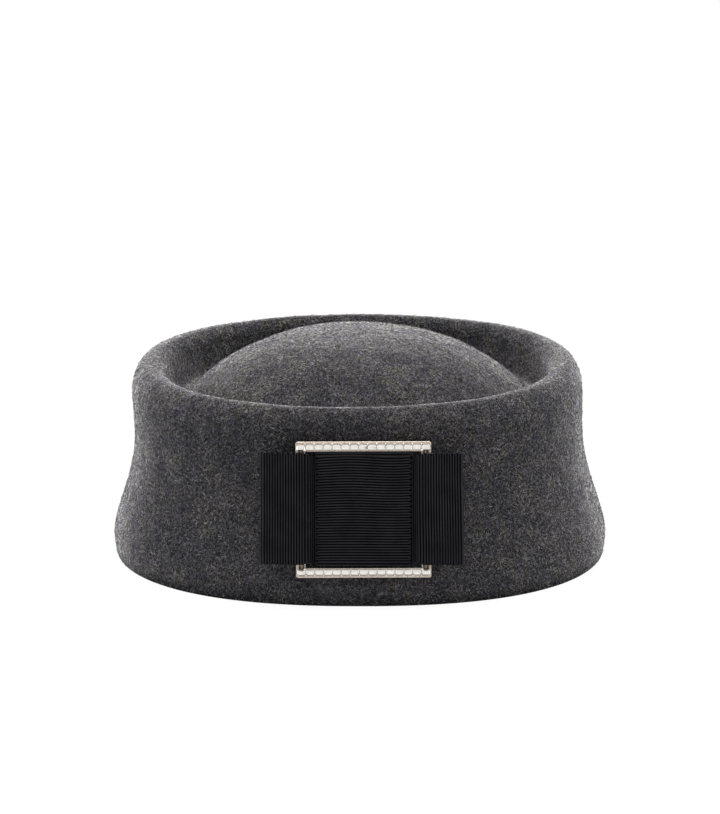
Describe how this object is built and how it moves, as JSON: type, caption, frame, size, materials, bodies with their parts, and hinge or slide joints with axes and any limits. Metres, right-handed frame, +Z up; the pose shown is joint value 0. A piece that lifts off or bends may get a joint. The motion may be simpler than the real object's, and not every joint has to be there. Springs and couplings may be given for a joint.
{
  "type": "felt pillbox hat",
  "caption": "Brimless felt hat with a waisted wall, rolled rim, sunken moat and oval dome, trimmed at the front with a flat ribbon bow on a square stone-set buckle.",
  "frame": {"origin": "middle of the hat's length, with the bow, and of its width, on the surface that its cut edge stands on", "axes": "+Z up, the front with the bow faces -Y, +X to the right of someone looking at the front"},
  "size_m": [0.1838, 0.2174, 0.0795],
  "materials": {
    "felt": "charcoal melange wool felt",
    "ribbon": "black grosgrain",
    "buckle_metal": "polished silver-coloured plating",
    "stone": "clear cut stones"
  },
  "bodies": {
    "root": {"felt_body": "felt", "bow_loops": "ribbon", "bow_band": "ribbon", "buckle_frame": "buckle_metal"}
  },
  "joints": []
}
